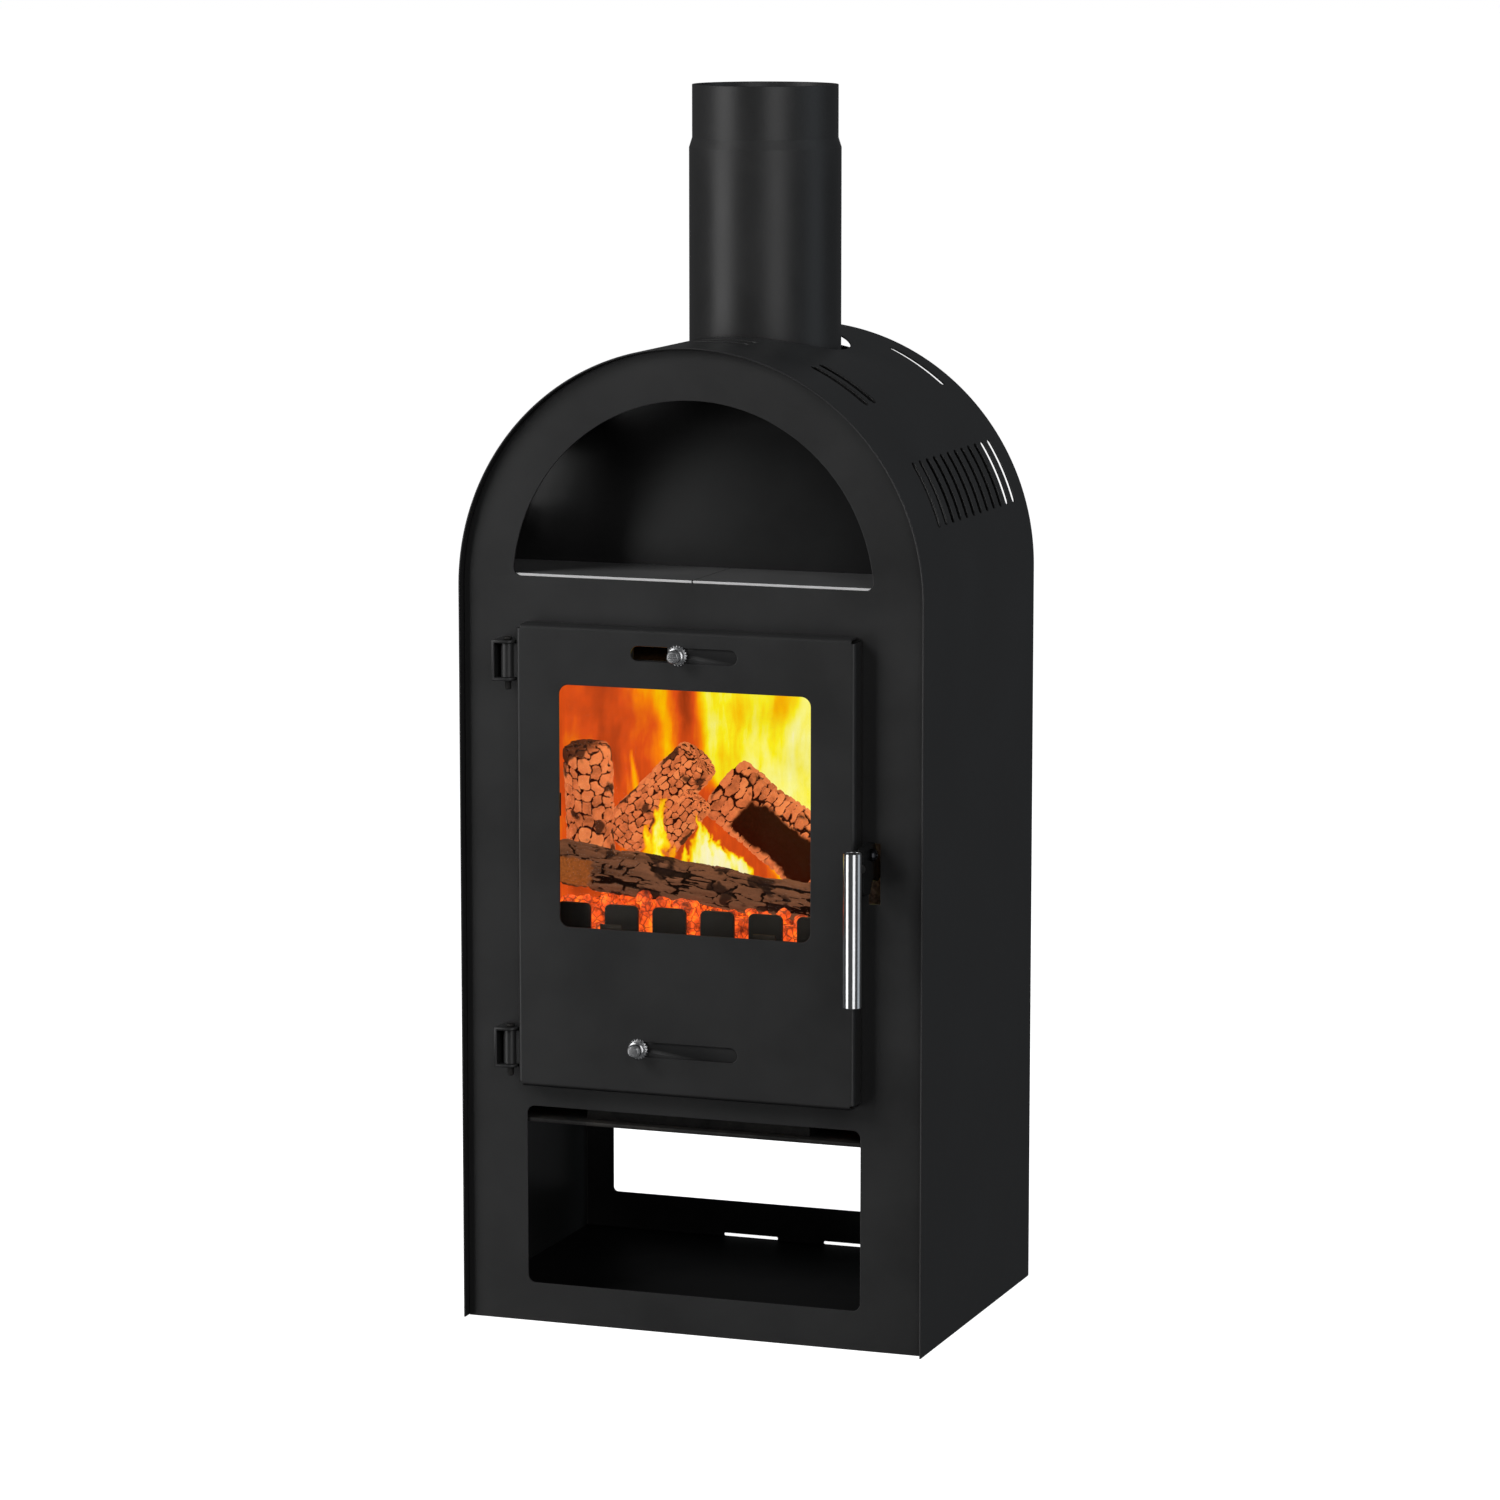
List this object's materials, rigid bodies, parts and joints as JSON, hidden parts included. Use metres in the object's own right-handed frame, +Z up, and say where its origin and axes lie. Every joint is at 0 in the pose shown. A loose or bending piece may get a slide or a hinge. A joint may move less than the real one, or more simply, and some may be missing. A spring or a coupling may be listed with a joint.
{
  "type": "wood burning stove",
  "caption": "Free-standing wood burning stove: arched black steel case, hinged glass door with latch handle and air slides, warming niche, log store and top flue.",
  "frame": {"origin": "on the floor at the middle of the stove's whole footprint, door handle included", "axes": "+X to the stove's right seen from the front, +Y to the back, +Z up"},
  "size_m": [0.494, 0.4283, 1.2537],
  "materials": {
    "black_paint": "matt heat-proof black paint, very fine texture",
    "dark_steel": "dark oxidised and sooted steel",
    "bright_steel": "polished stainless steel",
    "black_cap": "black plug, satin",
    "cast_iron": "raw cast iron, ash-dusted",
    "fire_brick": "pressed vermiculite, soot-stained",
    "stove_glass": "clear ceramic glass",
    "rope_fibre": "braided glass fibre",
    "charred_wood": "cracked, charred and glowing",
    "embers": "glowing embers and ash"
  },
  "bodies": {
    "stove": {"outer_shell": "black_paint", "front_panel": "black_paint", "rear_panel": "black_paint", "floor_plate": "black_paint", "niche_back": "black_paint", "niche_shelf_left": "dark_steel", "niche_shelf_right": "dark_steel", "firebox_floor": "dark_steel", "firebox_left_wall": "dark_steel", "firebox_right_wall": "dark_steel", "firebox_back_wall": "dark_steel", "firebox_roof": "dark_steel", "firebrick_left": "fire_brick", "firebrick_right": "fire_brick", "firebrick_back": "fire_brick", "baffle_plate": "fire_brick", "hearth_plate": "dark_steel", "grate": "cast_iron", "log_guard": "dark_steel", "ash_pan": "dark_steel", "flue_collar": "dark_steel", "flue_pipe": "black_paint", "log_front": "charred_wood", "log_centre": "charred_wood", "log_short": "charred_wood", "log_right": "charred_wood", "log_left": "charred_wood", "ember_bed": "embers", "hinge_bracket_upper": "black_paint", "hinge_bracket_lower": "black_paint", "hinge_pin_upper": "dark_steel", "hinge_pin_lower": "dark_steel"},
    "door": {"door_panel": "black_paint", "door_glass": "stove_glass", "glass_gasket": "rope_fibre", "glass_clip_lower_left": "dark_steel", "glass_clip_lower_right": "dark_steel", "glass_clip_left": "dark_steel", "glass_clip_right": "dark_steel", "door_rope_seal": "rope_fibre", "hinge_leaf_upper": "black_paint", "hinge_leaf_lower": "black_paint", "upper_air_guide": "dark_steel", "lower_air_guide": "dark_steel", "pivot_bolt": "bright_steel", "pivot_spacer": "dark_steel", "pivot_nut": "dark_steel"},
    "upper_air": {"upper_air_plate": "black_paint", "upper_air_knob": "bright_steel", "upper_knob_washer": "bright_steel"},
    "lower_air": {"lower_air_plate": "black_paint", "lower_air_knob": "bright_steel", "lower_knob_washer": "bright_steel"},
    "handle": {"lever_plate": "black_paint", "handle_rod": "bright_steel", "handle_stem": "dark_steel", "handle_cap_top": "black_cap", "handle_cap_bottom": "black_cap"}
  },
  "joints": [
    {"name": "door_hinge", "type": "hinge", "parent": "stove", "child": "door", "pos_m": [-0.191, -0.15485, 0.48625], "axis": [0, 0, -1], "range_deg": [0, 90]},
    {"name": "upper_air_slide", "type": "slide", "parent": "door", "child": "upper_air", "axis": [1, 0, 0], "range_m": [-0.043, 0.055]},
    {"name": "lower_air_slide", "type": "slide", "parent": "door", "child": "lower_air", "axis": [1, 0, 0], "range_m": [0, 0.098]},
    {"name": "handle_lever", "type": "hinge", "parent": "door", "child": "handle", "pos_m": [0.1925, -0.15435, 0.508], "axis": [-1, 0, 0], "range_deg": [0, 60]}
  ]
}
